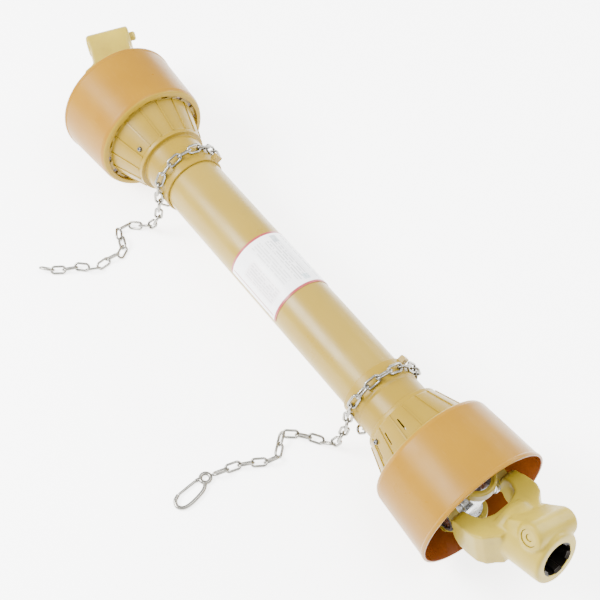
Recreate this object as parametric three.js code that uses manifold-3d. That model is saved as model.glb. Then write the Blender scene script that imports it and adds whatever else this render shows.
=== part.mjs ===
// Universal joint drive shaft with a telescopic plastic guard. Millimetres, +Z up.
// +X runs along the shaft to the near end. The guard lies on its two bell rims at z = 0.
import * as THREE from "three";
import { mergeVertices } from "three/addons/utils/BufferGeometryUtils.js";
import Module from "manifold-3d";

const wasm = await Module();
wasm.setup();
const { Manifold, Mesh } = wasm;

// Driving dimensions
const MOUTH_X = 339; // bell mouth to the middle of the shaft
const JOINT_X = 321; // joint centre to the middle of the shaft
const MOUTH_R = 75; // bell mouth
const AXIS_Z = MOUTH_R * Math.cos(Math.PI / 48); // height of the shaft's axis
const GAP = 0.35; // clearance between neighbouring pieces
const GUARD_R = 35; // outer guard tube
const GUARD_WALL = 2.6;
const INNER_GUARD_R = GUARD_R - GUARD_WALL - GAP;
const CROSS_HALF = 37.3; // half the length over two opposite bearing cups
const CUP_R = 13.5;
const EAR_IN = 26;
const EAR_OUT = 39.8;
const EAR_R = 19.5;
const TRUNNION_R = 8;
const HUB_R = 27; // end yoke hub
const YOKE_HALF = 20.5; // half the thickness of the end yoke's block
const HUB_END = 109; // hub end face from the joint centre
const SHOULDER = 42.5; // half the width over the end yoke's shoulders
const SPLINE_MINOR = 14.9;
const SPLINE_MAJOR = 17.5;
const SPLINE_W = 8.9;
const PIN_OFFSET = 23; // push pin axis from the hub axis
const PIN_X = 91.5;
const PIN_R = 5.7;
const YOKE_HUB_R = 30; // tube yoke hub
const YOKE_HUB_END = -101;
const ROLL_PIN_X = 94; // from the joint centre
const CONE_BORE_X = -121; // bell mouth to the bottom of the cone's bore
const COLLAR_X = -172;
const RIBS = 16; // ribs and windows round each base cone
const OUTER_DRIVE_R = 24.5; // mean radius of the outer drive tube's lobed outline
const INNER_DRIVE_R = 20.9;
const NECK_R = 37.8;
const CHAIN_X = 180; // chain loops round the neck here
const CHAIN_R = 4; // radius of the plain chain stretch
const NEAR_BEND = { yaw: 4, lift: 18, lobe: 22 };
const FAR_BEND = { yaw: -21, lift: 4, lobe: 6 };

const rad = (degrees) => (degrees * Math.PI) / 180;

// Joins equal vertices, drops empty triangles and turns faces outward.
function clean(geometry) {
  const bare = geometry.clone();
  bare.deleteAttribute("normal");
  bare.deleteAttribute("uv");
  const merged = mergeVertices(bare, 1e-4);
  const position = merged.getAttribute("position");
  const kept = [];
  const corners = [new THREE.Vector3(), new THREE.Vector3(), new THREE.Vector3()];
  let volume = 0;
  for (let i = 0; i < merged.index.count; i += 3) {
    const ids = [0, 1, 2].map((k) => merged.index.getX(i + k));
    if (ids[0] === ids[1] || ids[1] === ids[2] || ids[0] === ids[2]) {
      continue;
    }
    kept.push(ids);
    corners.forEach((corner, k) => corner.fromBufferAttribute(position, ids[k]));
    volume += corners[0].dot(corners[1].clone().cross(corners[2]));
  }
  if (volume < 0) {
    kept.forEach((ids) => ids.reverse());
  }
  merged.setIndex(kept.flat());
  return merged;
}

function toSolid(geometry) {
  const ready = clean(geometry);
  return new Manifold(
    new Mesh({
      numProp: 3,
      vertProperties: new Float32Array(ready.getAttribute("position").array),
      triVerts: new Uint32Array(ready.index.array),
    }),
  );
}

function toGeometry(solid) {
  const mesh = solid.getMesh();
  const geometry = new THREE.BufferGeometry();
  geometry.setAttribute("position", new THREE.BufferAttribute(mesh.vertProperties, 3));
  geometry.setIndex(new THREE.BufferAttribute(mesh.triVerts, 1));
  return geometry;
}

// A closed [x, r] outline turned about the X axis. A flat facet faces straight down.
function turn(outline, segments = 48) {
  const points = outline.map(([x, r]) => new THREE.Vector2(r, x));
  const closed = outline[0][1] > 0 || outline[outline.length - 1][1] > 0;
  if (closed) {
    points.push(points[0].clone());
  }
  const geometry = new THREE.LatheGeometry(points, segments, Math.PI / segments);
  return geometry.rotateZ(-Math.PI / 2);
}

const rod = (x0, x1, r, segments = 24) => turn([[x0, 0], [x0, r], [x1, r], [x1, 0]], segments);
const tube = (x0, x1, r0, r1, segments) =>
  turn([[x0, r0], [x0, r1], [x1, r1], [x1, r0]], segments);
const alongY = (geometry) => geometry.rotateZ(Math.PI / 2);
const alongZ = (geometry) => geometry.rotateY(-Math.PI / 2);

// A flat outline in local Y and Z pushed along X from x0 to x1.
function prism(shape, x0, x1, curveSegments = 12) {
  const options = { depth: x1 - x0, bevelEnabled: false, curveSegments };
  const geometry = new THREE.ExtrudeGeometry(shape, options);
  return geometry.rotateY(Math.PI / 2).rotateX(Math.PI / 2).translate(x0, 0, 0);
}

function polygon(points) {
  return new THREE.Shape(points.map(([a, b]) => new THREE.Vector2(a, b)));
}

function box(x0, x1, y0, y1, z0, z1) {
  const geometry = new THREE.BoxGeometry(x1 - x0, y1 - y0, z1 - z0);
  return geometry.translate((x0 + x1) / 2, (y0 + y1) / 2, (z0 + z1) / 2);
}

const cut = (base, ...tools) =>
  tools.reduce((solid, tool) => solid.subtract(toSolid(tool)), base);
const join = (base, ...more) => more.reduce((solid, part) => solid.add(toSolid(part)), base);

const group = new THREE.Group();

const PAINTS = {
  yoke: { color: 0xb9a24c, roughness: 0.45, metalness: 0.1 },
  steel: { color: 0xb8bac0, roughness: 0.35, metalness: 0.9 },
  dark: { color: 0x55565a, roughness: 0.5, metalness: 0.8 },
  cone: { color: 0xcdb567, roughness: 0.45, metalness: 0 },
  bell: { color: 0xd6a652, roughness: 0.45, metalness: 0 },
  tube: { color: 0xc9b272, roughness: 0.45, metalness: 0 },
  nylon: { color: 0xefe9d6, roughness: 0.5, metalness: 0 },
  label: { color: 0xf4f2ee, roughness: 0.4, metalness: 0 },
};

function place(name, shape, paint, matrix = new THREE.Matrix4()) {
  const geometry = clean(shape.isBufferGeometry ? shape : toGeometry(shape));
  geometry.applyMatrix4(matrix);
  geometry.computeVertexNormals();
  const mesh = new THREE.Mesh(geometry, new THREE.MeshStandardMaterial(PAINTS[paint]));
  mesh.name = name;
  group.add(mesh);
}

// Placement of one end: local +X points outward from the given distance along the shaft.
function endMatrix(side, distance) {
  const matrix = new THREE.Matrix4();
  if (side < 0) {
    matrix.makeRotationZ(Math.PI);
  }
  return matrix.setPosition(side * distance, 0, AXIS_Z);
}

const turned = (matrix, ...turns) => turns.reduce((m, t) => m.clone().multiply(t), matrix);
const yaw = (degrees) => new THREE.Matrix4().makeRotationZ(rad(degrees));
const lift = (degrees) => new THREE.Matrix4().makeRotationY(rad(-degrees));
const roll = (degrees) => new THREE.Matrix4().makeRotationX(rad(degrees));

// Three-lobed outline of the telescopic drive tubes
function lobed(mean, swell = 2.5, count = 30) {
  const points = [];
  for (let i = 0; i < count; i += 1) {
    const angle = (i / count) * 2 * Math.PI;
    const r = mean + swell * Math.cos(3 * angle);
    points.push([r * Math.cos(angle), r * Math.sin(angle)]);
  }
  return polygon(points);
}

function profileTube(x0, x1, outer, inner) {
  const shape = lobed(outer);
  shape.holes.push(lobed(inner));
  return prism(shape, x0, x1);
}

// Half plans of the two forks, from the ear's outer face to the hub (x, y)
const TUBE_YOKE_PLAN = [[-EAR_R, EAR_OUT], [26, EAR_OUT], [40, 36], [56, 29]];
const END_YOKE_PLAN = [[-EAR_R, EAR_OUT], [12, EAR_OUT], [27, 41.8], [34, SHOULDER], [46, SHOULDER],
  [54, 39], [61, 30.5], [64, HUB_R]];

// Fork: two ears across local Y round a bore, on a block that starts at x = 43
function fork(outside, backZ) {
  const inside = [[-EAR_R, EAR_IN], [28, EAR_IN], [36, 23], [41, 16], [43, 8]];
  const mirror = (points) => points.map(([x, y]) => [x, -y]).reverse();
  const plan = polygon([...outside, ...mirror(outside), ...mirror(inside).reverse(),
    ...inside.slice().reverse()]);
  const options = { depth: 70, bevelEnabled: false };
  const flat = new THREE.ExtrudeGeometry(plan, options).translate(0, 0, -35);
  const backX = outside[outside.length - 1][0];
  const side = new THREE.Shape();
  side.moveTo(backX, -backZ);
  side.lineTo(44, -backZ + 1);
  side.lineTo(14, -EAR_R);
  side.lineTo(0, -EAR_R);
  side.absarc(0, 0, EAR_R, -Math.PI / 2, -Math.PI * 1.5, true);
  side.lineTo(14, EAR_R);
  side.lineTo(44, backZ - 1);
  side.lineTo(backX, backZ);
  const upright = new THREE.ExtrudeGeometry(side, { ...options, depth: 100, curveSegments: 10 });
  upright.translate(0, 0, -50).rotateX(Math.PI / 2);
  return toSolid(flat).intersect(toSolid(upright));
}

const earBore = () => alongY(rod(-60, 60, CUP_R + GAP, 16));

// Six-spline bore outline
function splineShape() {
  const half = SPLINE_W / 2;
  const points = [];
  for (let i = 0; i < 6; i += 1) {
    const middle = (i * Math.PI) / 3;
    const wide = Math.asin(half / SPLINE_MINOR);
    const tight = Math.asin(half / SPLINE_MAJOR);
    const steps = [[SPLINE_MINOR, -wide], [SPLINE_MAJOR, -tight], [SPLINE_MAJOR, 0],
      [SPLINE_MAJOR, tight], [SPLINE_MINOR, wide], [SPLINE_MINOR, Math.PI / 6]];
    for (const [r, turnBy] of steps) {
      points.push([r * Math.cos(middle + turnBy), r * Math.sin(middle + turnBy)]);
    }
  }
  return polygon(points);
}

// Boss across the hub that holds the push pin. Local Y is the pin's axis, +Z the offset.
function pinBoss() {
  const shape = new THREE.Shape();
  const low = PIN_OFFSET - 14;
  shape.moveTo(62, low);
  shape.lineTo(PIN_X, low);
  shape.absarc(PIN_X, PIN_OFFSET, 14, -Math.PI / 2, Math.PI * 0.68, false);
  shape.lineTo(62, PIN_OFFSET + 2);
  const options = { depth: 54, bevelEnabled: false, curveSegments: 10 };
  const geometry = new THREE.ExtrudeGeometry(shape, options);
  return geometry.rotateX(Math.PI / 2).translate(0, 27, 0);
}

// way: 1 when the pin's push end is on local +Y, -1 when it's on local -Y
const onPin = (geometry, way) =>
  alongY(geometry).rotateZ(way < 0 ? Math.PI : 0).translate(PIN_X, 0, PIN_OFFSET);

function endYoke(lobeTurn, way) {
  const hub = turn([[50, 0], [50, HUB_R], [HUB_END - 2.5, HUB_R], [HUB_END, HUB_R - 2.5],
    [HUB_END, 0]], 28);
  const boss = toSolid(pinBoss().rotateX(rad(-lobeTurn)));
  const cuts = [
    onPin(rod(-30, 30, PIN_R + GAP, 16), way),
    onPin(rod(-30, -7, 8.7, 16), way),
    onPin(rod(20.4, 30, 9.6, 16), way),
  ].map((geometry) => geometry.rotateX(rad(-lobeTurn)));
  const body = join(fork(END_YOKE_PLAN, YOKE_HALF), hub).add(boss);
  const mouth = turn([[HUB_END - 2, 0], [HUB_END - 2, SPLINE_MAJOR - 1.5],
    [HUB_END + 1, SPLINE_MAJOR + 1.5], [HUB_END + 1, 0]], 24);
  return cut(body, prism(splineShape(), 30, HUB_END + 6), mouth, earBore(), ...cuts);
}

function tubeYoke(socket) {
  // socket: the drive tube's outline with its clearance, in this yoke's frame
  const outline = [[44, 0], [44, 29], [56, 33], [73.6, 33], [73.6, YOKE_HUB_R],
    [81.4, YOKE_HUB_R], [81.4, 33], [86, 33], [86, YOKE_HUB_R], [-YOKE_HUB_END, YOKE_HUB_R],
    [-YOKE_HUB_END, 0]];
  const body = join(fork(TUBE_YOKE_PLAN, 28), turn(outline, 24));
  const pinHole = alongY(rod(-40, 40, 4 + GAP, 16)).translate(ROLL_PIN_X, 0, 0);
  return cut(body, socket, earBore(), pinHole);
}

// Cross: four trunnions along Y and Z on two crossed shoulders, with the grease nipple's seat
function crossBody() {
  const thick = rod(-19.6, 19.6, 11.5, 16);
  const trunnion = rod(-33.9, 33.9, TRUNNION_R, 16);
  const seat = rod(8, 20, 4.6, 12).rotateY(-Math.PI / 2).rotateX(-Math.PI / 4);
  return join(
    toSolid(alongY(thick.clone())),
    alongZ(thick.clone()),
    alongY(trunnion.clone()),
    alongZ(trunnion.clone()),
    seat,
  );
}

const cup = () =>
  turn([[20, TRUNNION_R + GAP], [20, CUP_R], [CROSS_HALF, CUP_R], [CROSS_HALF, 0], [34.3, 0], [34.3, TRUNNION_R + GAP]], 16);

function snapRing() {
  const shape = new THREE.Shape();
  const open = rad(24);
  shape.absarc(0, 0, CUP_R, open, 2 * Math.PI - open, false);
  shape.absarc(0, 0, CUP_R - 3, 2 * Math.PI - open, open, true);
  return prism(shape, CROSS_HALF + 0.35, CROSS_HALF + 1.6, 7);
}

function nipple() {
  const outline = [[20.35, 0], [20.35, 3.4], [22.6, 3.4], [23, 2.2], [24.6, 2.2], [25.4, 2.9],
    [27.2, 2], [27.2, 0]];
  return turn(outline, 12).rotateY(-Math.PI / 2).rotateX(-Math.PI / 4);
}

// Push pin with a locking waist, its coil spring and the ring that closes the spring pocket
function pushPin() {
  return turn([[-25, 0], [-25, 3.4], [-13, 3.4], [-13, 8.2], [-9.6, 8.2], [-9.6, PIN_R],
    [3.6, PIN_R], [4.6, 4.2], [9, 4.2], [10, PIN_R], [32.6, PIN_R],
    [34, 4.4], [34, 0]], 16);
}

class Helix extends THREE.Curve {
  constructor(x0, x1, r, turns) {
    super();
    Object.assign(this, { x0, x1, r, turns });
  }

  getPoint(t, target = new THREE.Vector3()) {
    const angle = 2 * Math.PI * this.turns * t;
    const x = this.x0 + (this.x1 - this.x0) * t;
    return target.set(x, this.r * Math.cos(angle), this.r * Math.sin(angle));
  }
}

function circle(r, sides) {
  const points = [];
  for (let i = 0; i < sides; i += 1) {
    const angle = (i / sides) * 2 * Math.PI;
    points.push([r * Math.cos(angle), r * Math.sin(angle)]);
  }
  return polygon(points);
}

function sweep(curve, r, steps, sides = 8) {
  const options = { steps, bevelEnabled: false, extrudePath: curve };
  return new THREE.ExtrudeGeometry(circle(r, sides), options);
}

// Guard pieces, local frame of one end
function bell() {
  return turn([[0, 72.4], [0, MOUTH_R], [-3, MOUTH_R], [-5, 74.4], [-76, 69.6], [-80, 67.6],
    [-81.8, 64], [-81.8, 61.2], [-79.4, 61.2], [-79.4, 64.4], [-77.6, 66.6]], 48);
}

function cone(bore, slits, lug) {
  const shell = turn([
    [-75.8, 53.4], [-75.8, 64], [-79.05, 64], [-79.05, 56.6],
    [-119, 43], [-124, 42.4], [-124, NECK_R - 0.8], [-147, NECK_R - 0.8], [-149, NECK_R],
    [COLLAR_X, NECK_R], [COLLAR_X, bore], [CONE_BORE_X, bore], [CONE_BORE_X, 39.2],
    [-117.5, 40.4], [-90, 50],
  ], 40);
  let body = toSolid(shell);
  for (let i = 0; i < RIBS; i += 1) {
    const angle = rad(((i + 0.5) * 360) / RIBS);
    const rib = polygon([[-78, 55], [-78, 58], [-119.5, 44], [-119.5, 41.2]]);
    const web = new THREE.ExtrudeGeometry(rib, { depth: 2.2, bevelEnabled: false });
    body = join(body, web.translate(0, 0, -1.1).rotateX(angle));
  }
  const keeper = box(COLLAR_X + 1, COLLAR_X + 7.5, NECK_R - 1, NECK_R + 6.6, -5, 5);
  body = join(body, keeper.rotateX(rad(90 + lug)));
  for (let i = 0; i < RIBS; i += 1) {
    body = cut(body, box(-80, -75, 57.2, 61, -4.6, 4.6).rotateX(rad((i * 360) / RIBS)));
  }
  return slits.reduce((solid, degrees) =>
    cut(solid, box(-110, -94, 36, 62, -0.8, 0.8).rotateX(rad(90 + degrees))), body);
}

function bearingRing() {
  return turn([[-92, YOKE_HUB_R + GAP], [-92, 48.9], [-99, 46.4], [-99, YOKE_HUB_R + GAP]], 32);
}

const screwTurn = (degrees) => roll(degrees);
const screw = () =>
  alongZ(turn([[41.2, 0], [41.2, 2.5], [47.6, 2.5], [48.6, 1.9], [48.6, 0]], 12))
    .translate(-112, 0, 0);
const screwHole = (degrees) =>
  alongZ(rod(36, 60, 2.5 + GAP, 12)).translate(-112, 0, 0).applyMatrix4(screwTurn(degrees));

// Angular turn of each cone's lock screw about the shaft's axis, local frame of its end
const SCREW_TURN = { near: 71, far: -48 };
const LUG_TURN = { near: -58, far: 58 }; // small lug on the collar beside the chain
const SLITS = { near: [28, 51, 74], far: [] }; // thin slots beside ribs of the near cone

for (const [end, side] of [["near", 1], ["far", -1]]) {
  const mouth = endMatrix(side, MOUTH_X);
  const base = endMatrix(side, JOINT_X);
  const bend = side > 0 ? NEAR_BEND : FAR_BEND;
  const crossAt = turned(base, yaw(bend.yaw));
  const yokeAt = turned(crossAt, lift(bend.lift));
  const inward = new THREE.Matrix4().makeRotationZ(Math.PI);
  const tubeYokeAt = turned(base, inward, roll(90));
  const lobeAt = turned(yokeAt, roll(-bend.lobe));
  const tubeMean = side > 0 ? INNER_DRIVE_R : OUTER_DRIVE_R;
  const ends = [side * 220 - 10, side * 220 + 10, side * (MOUTH_X - 72)].sort((a, b) => a - b);
  const socket = prism(lobed(tubeMean + GAP), ends[0], ends[2])
    .translate(0, 0, AXIS_Z)
    .applyMatrix4(tubeYokeAt.clone().invert());

  place(`end_yoke_${end}`, endYoke(bend.lobe, side), "yoke", yokeAt);
  place(`tube_yoke_${end}`, tubeYoke(socket), "yoke", tubeYokeAt);
  place(`cross_${end}`, crossBody(), "steel", crossAt);
  place(`grease_nipple_${end}`, nipple(), "steel", crossAt);
  const rollPin = alongY(rod(-29.4, 29.4, 4, 16)).translate(ROLL_PIN_X, 0, 0);
  place(`roll_pin_${end}`, rollPin, "dark", tubeYokeAt);
  for (const [mark, quarter, holder] of [["a", 0, yokeAt], ["b", 180, yokeAt],
    ["c", 0, tubeYokeAt], ["d", 180, tubeYokeAt]]) {
    const seat = turned(holder, roll(quarter));
    place(`bearing_cup_${end}_${mark}`, alongY(cup()), "steel", seat);
    place(`snap_ring_${end}_${mark}`, alongY(snapRing()), "dark", seat);
  }
  place(`push_pin_${end}`, onPin(pushPin(), side), "steel", lobeAt);
  const coil = onPin(sweep(new Helix(-22.6, -14.2, 6, 3), 0.8, 30, 6), side);
  place(`pin_spring_${end}`, coil, "dark", lobeAt);
  place(`pin_cap_${end}`, onPin(tube(-26, -24, 3.4 + GAP, 8.35, 16), side), "dark", lobeAt);

  const bore = side > 0 ? INNER_GUARD_R + GAP : GUARD_R + GAP;
  const coneBody = cut(cone(bore, SLITS[end], LUG_TURN[end]), screwHole(SCREW_TURN[end]));
  place(`bell_${end}`, bell(), "bell", mouth);
  place(`base_cone_${end}`, coneBody, "cone", mouth);
  place(`bearing_ring_${end}`, bearingRing(), "nylon", mouth);
  place(`lock_screw_${end}`, screw().applyMatrix4(screwTurn(SCREW_TURN[end])), "dark", mouth);
}

// Guard tubes and drive tubes, shaft frame
const shaft = new THREE.Matrix4().makeTranslation(0, 0, AXIS_Z);
const coneInner = MOUTH_X + CONE_BORE_X - GAP;
const OUTER_END = 166.4; // free end of the outer guard tube
place("guard_tube_outer", tube(-coneInner, OUTER_END, GUARD_R - GUARD_WALL, GUARD_R, 40), "tube", shaft);
place("guard_tube_inner", tube(-150, coneInner, INNER_GUARD_R - 2.4, INNER_GUARD_R, 40), "tube",
  shaft);
const socketEnd = MOUTH_X - 72 - GAP;
const drivePin = (x) => alongZ(rod(-40, 40, 4 + GAP, 16)).translate(x, 0, 0);
const pinX = JOINT_X - ROLL_PIN_X;
place("drive_tube_outer", cut(toSolid(profileTube(-socketEnd, 190, OUTER_DRIVE_R, 21.4)), drivePin(-pinX)),
  "dark", shaft);
place("drive_tube_inner", cut(toSolid(profileTube(-160, socketEnd, INNER_DRIVE_R, 17.9)), drivePin(pinX)),
  "dark", shaft);

function label() {
  const shape = new THREE.Shape();
  const from = rad(-88);
  const to = rad(132);
  shape.absarc(0, 0, GUARD_R + 0.75, from, to, false);
  shape.absarc(0, 0, GUARD_R + GAP, to, from, true);
  return prism(shape, -39, 45, 16);
}
place("label", label(), "label", turned(shaft, roll(90)));

// Chains: a loop round the neck, a hanging stretch and the stretch lying on the floor
function chainCurve(x, toEnd, floor) {
  const ringR = NECK_R + CHAIN_R + GAP;
  const points = [];
  for (let degrees = -125; degrees >= -455; degrees -= 11) {
    const angle = rad(degrees);
    const drift = (toEnd * 9.4 * (degrees + 455)) / 330;
    points.push([x + drift, ringR * Math.sin(angle), AXIS_Z + ringR * Math.cos(angle)]);
  }
  return points.concat(floor);
}

function chain(points, steps) {
  const curve = new THREE.CatmullRomCurve3(
    points.map(([x, y, z]) => new THREE.Vector3(x, y, z)), false, "centripetal");
  curve.arcLengthDivisions = 600;
  return sweep(curve, CHAIN_R, steps);
}

const NEAR_FLOOR = [
  [180, -43.5, 54], [177, -46.5, 32], [172, -50, 14], [164, -55, 5.4], [154, -60, 4.4], [144, -68, 4.4],
  [133, -78, 4.4], [128, -88, 4.4], [137, -97, 4.4], [145, -107, 4.4], [143, -120, 4.4],
  [135, -134, 4.4], [129, -148, 4.4], [126, -161, 4.4], [123.5, -171.4, 4.4],
];
const FAR_FLOOR = [
  [-180, -43.5, 54], [-183, -46.5, 32], [-193, -52, 14], [-207, -61, 5.4], [-217, -73, 4.4],
  [-212, -86, 4.4], [-196, -91, 4.4], [-184, -99, 4.4], [-186, -111, 4.4], [-183, -125, 4.4],
  [-184, -139, 4.4], [-195, -149, 4.4], [-201, -162, 4.4], [-208, -175, 4.4], [-221, -187, 4.4],
];
place("chain_near", chain(chainCurve(CHAIN_X, 1, NEAR_FLOOR), 56), "steel");
place("chain_far", chain(chainCurve(-CHAIN_X, -1, FAR_FLOOR), 56), "steel");

// Snap hook lying flat beside the chain's end, with its sprung gate
const HOOK = { x: 121, y: -181, z: 2.4, turn: -76 };
const HOOK_R = 2.2;

// Hook frame: the eye's centre is the origin and the hook runs along local X.
function hookPath(points) {
  return new THREE.CatmullRomCurve3(points.map(([x, y]) => new THREE.Vector3(x, y, 0)));
}

function hookBody() {
  const eye = new THREE.TorusGeometry(5.4, HOOK_R, 8, 18);
  const back = hookPath([[4.2, 3.4], [9, 7], [16, 8.6], [30, 8.6], [39, 6], [42.5, 0],
    [39, -6.2], [32.6, -8.5]]);
  const stub = hookPath([[4.4, -3.2], [6.6, -4.6], [9, -5.4]]);
  return join(toSolid(eye), sweep(back, HOOK_R, 26), sweep(stub, HOOK_R, 4));
}

const hookGate = () => sweep(hookPath([[9.8, -5.6], [20, -7], [31.6, -8.4]]), 1.7, 6);
const hookAt = new THREE.Matrix4()
  .makeRotationZ(rad(HOOK.turn))
  .setPosition(HOOK.x, HOOK.y, HOOK.z);
place("hook_body", hookBody(), "steel", hookAt);
place("hook_gate", hookGate(), "steel", hookAt);

export default group;
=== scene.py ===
"""Guarded universal joint shaft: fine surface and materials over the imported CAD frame."""

import math
import random

import bmesh
import bpy
from mathutils import Matrix, Quaternion, Vector


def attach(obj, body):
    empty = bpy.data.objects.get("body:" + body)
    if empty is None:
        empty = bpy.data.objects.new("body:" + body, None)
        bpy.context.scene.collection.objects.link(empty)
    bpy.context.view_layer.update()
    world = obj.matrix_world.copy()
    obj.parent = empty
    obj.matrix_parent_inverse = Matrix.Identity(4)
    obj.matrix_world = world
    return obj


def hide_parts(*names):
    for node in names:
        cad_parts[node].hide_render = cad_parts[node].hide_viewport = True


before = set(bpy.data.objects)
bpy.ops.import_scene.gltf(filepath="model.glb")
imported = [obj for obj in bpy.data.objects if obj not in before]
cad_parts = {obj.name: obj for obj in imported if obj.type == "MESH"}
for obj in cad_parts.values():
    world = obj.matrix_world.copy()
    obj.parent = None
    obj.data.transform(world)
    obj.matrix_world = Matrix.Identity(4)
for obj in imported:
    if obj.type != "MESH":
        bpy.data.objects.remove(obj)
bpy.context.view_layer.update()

MM = 0.001
MOUTH_X = 339.0  # bell mouth to the middle of the shaft, mm
JOINT_X = 321.0  # joint centre to the middle of the shaft, mm
AXIS_Z = 75.0 * math.cos(math.pi / 48)
ENDS = {
    "near": {"side": 1, "yaw": 4, "lift": 18, "lobe": 22, "guard": "guard_inner", "drive": "drive_inner"},
    "far": {"side": -1, "yaw": -21, "lift": 4, "lobe": 6, "guard": "guard_outer", "drive": "drive_outer"},
}


# ---------------------------------------------------------------- camera
def make_camera():
    data = bpy.data.cameras.new("camera")
    data.sensor_width = 36
    data.lens = 69.4
    data.clip_end = 20
    camera = bpy.data.objects.new("camera", data)
    bpy.context.scene.collection.objects.link(camera)
    place = Vector((0.6211, -0.4233, 1.0937))
    aim = Vector((0.03665, 0.0024, 0.075))
    camera.location = place
    camera.rotation_euler = (aim - place).to_track_quat("-Z", "Y").to_euler()
    bpy.context.scene.camera = camera


make_camera()


# ---------------------------------------------------------------- mesh tools
def spread(points, per_corner=5):
    """Rounds the corners of a closed outline. A point is (x, r) or (x, r, radius)."""
    out = []
    count = len(points)
    for i, point in enumerate(points):
        here = Vector(point[:2])
        radius = point[2] if len(point) > 2 else 0
        before = Vector(points[i - 1][:2])
        after = Vector(points[(i + 1) % count][:2])
        if radius <= 0:
            out.append(tuple(here))
            continue
        back, ahead = before - here, after - here
        angle = back.angle(ahead)
        reach = radius / max(math.tan(angle / 2), 1e-3)
        reach = min(reach, back.length * 0.48, ahead.length * 0.48)
        a, b = here + back.normalized() * reach, here + ahead.normalized() * reach
        for k in range(per_corner + 1):
            t = k / per_corner
            out.append(tuple(a * (1 - t) ** 2 + here * 2 * t * (1 - t) + b * t * t))
    return out


def finish_mesh(name, bm, matrix=None, angle=32):
    bmesh.ops.remove_doubles(bm, verts=bm.verts, dist=1e-7)
    bmesh.ops.recalc_face_normals(bm, faces=bm.faces)
    mesh = bpy.data.meshes.new(name)
    bm.to_mesh(mesh)
    bm.free()
    if matrix is not None:
        mesh.transform(matrix)
    mesh.polygons.foreach_set("use_smooth", [True] * len(mesh.polygons))
    mesh.set_sharp_from_angle(angle=math.radians(angle))
    obj = bpy.data.objects.new(name, mesh)
    bpy.context.scene.collection.objects.link(obj)
    return obj


def lathe(name, outline, segments=128, matrix=None, closed=True, start=0.0):
    """An (x, r[, corner radius]) outline in mm, turned about the X axis."""
    points = spread(outline)
    bm = bmesh.new()
    rings = []
    for x, r in points:
        if r < 1e-6:
            rings.append([bm.verts.new((x * MM, 0, 0))])
            continue
        ring = []
        for i in range(segments):
            a = start + 2 * math.pi * i / segments
            ring.append(bm.verts.new((x * MM, -r * math.sin(a) * MM, r * math.cos(a) * MM)))
        rings.append(ring)
    pairs = list(zip(rings, rings[1:]))
    if closed and len(rings[0]) > 1 and len(rings[-1]) > 1:
        pairs.append((rings[-1], rings[0]))
    for one, two in pairs:
        if len(one) == 1 and len(two) == 1:
            continue
        for i in range(segments):
            j = (i + 1) % segments
            if len(one) == 1:
                bm.faces.new((one[0], two[i], two[j]))
            elif len(two) == 1:
                bm.faces.new((one[i], two[0], one[j]))
            else:
                bm.faces.new((one[i], two[i], two[j], one[j]))
    return finish_mesh(name, bm, matrix)


def rod(name, x0, x1, r, segments=64, matrix=None, edge=0.4):
    outline = [(x0, 0), (x0, r, edge), (x1, r, edge), (x1, 0)]
    return lathe(name, outline, segments, matrix, closed=False)


PLANES = {
    "xy": lambda a, b, c: (a, b, c),
    "xz": lambda a, b, c: (a, c, b),
    "yz": lambda a, b, c: (c, a, b),
}


def slab(name, outline, low, high, plane="xy", matrix=None, angle=32):
    """A flat outline in mm pushed along the third axis from low to high."""
    order = PLANES[plane]
    bm = bmesh.new()
    bottom = [bm.verts.new([v * MM for v in order(a, b, low)]) for a, b in outline]
    top = [bm.verts.new([v * MM for v in order(a, b, high)]) for a, b in outline]
    bm.faces.new(bottom)
    bm.faces.new(reversed(top))
    for i in range(len(outline)):
        j = (i + 1) % len(outline)
        bm.faces.new((bottom[i], bottom[j], top[j], top[i]))
    return finish_mesh(name, bm, matrix, angle)


def bake_modifiers(obj):
    depsgraph = bpy.context.evaluated_depsgraph_get()
    mesh = bpy.data.meshes.new_from_object(obj.evaluated_get(depsgraph))
    obj.modifiers.clear()
    obj.data = mesh
    return obj


def boolean(base, tools, operation="DIFFERENCE"):
    for tool in tools:
        modifier = base.modifiers.new("cut", "BOOLEAN")
        modifier.operation = operation
        modifier.solver = "EXACT"
        modifier.object = tool
    bpy.context.view_layer.update()
    bake_modifiers(base)
    for tool in tools:
        bpy.data.objects.remove(tool)
    return base


def sharpen(obj, angle=30):
    mesh = obj.data
    mesh.polygons.foreach_set("use_smooth", [True] * len(mesh.polygons))
    mesh.set_sharp_from_angle(angle=math.radians(angle))
    return obj


def cast(obj, voxel=0.8, rounds=10):
    """Turns sharp joined solids into one casting with rounded edges and filled corners."""
    remesh = obj.modifiers.new("remesh", "REMESH")
    remesh.mode = "VOXEL"
    remesh.voxel_size = voxel * MM
    smooth = obj.modifiers.new("smooth", "SMOOTH")
    smooth.factor = 0.6
    smooth.iterations = rounds
    bpy.context.view_layer.update()
    bake_modifiers(obj)
    return sharpen(obj, 180)


def join(name, objects, matrix=None):
    """Puts several loose meshes in one object."""
    bm = bmesh.new()
    for obj in objects:
        bm.from_mesh(obj.data)
        bpy.data.objects.remove(obj)
    mesh = bpy.data.meshes.new(name)
    bm.to_mesh(mesh)
    bm.free()
    if matrix is not None:
        mesh.transform(matrix)
    mesh.polygons.foreach_set("use_smooth", [True] * len(mesh.polygons))
    mesh.set_sharp_from_angle(angle=math.radians(35))
    obj = bpy.data.objects.new(name, mesh)
    bpy.context.scene.collection.objects.link(obj)
    return obj


def turn_x(degrees):
    return Matrix.Rotation(math.radians(degrees), 4, "X")


def turn_y(degrees):
    return Matrix.Rotation(math.radians(degrees), 4, "Y")


def turn_z(degrees):
    return Matrix.Rotation(math.radians(degrees), 4, "Z")


ALONG_Y = turn_z(90)
ALONG_Z = turn_y(-90)


def move(x=0.0, y=0.0, z=0.0):
    return Matrix.Translation((x * MM, y * MM, z * MM))


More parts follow.
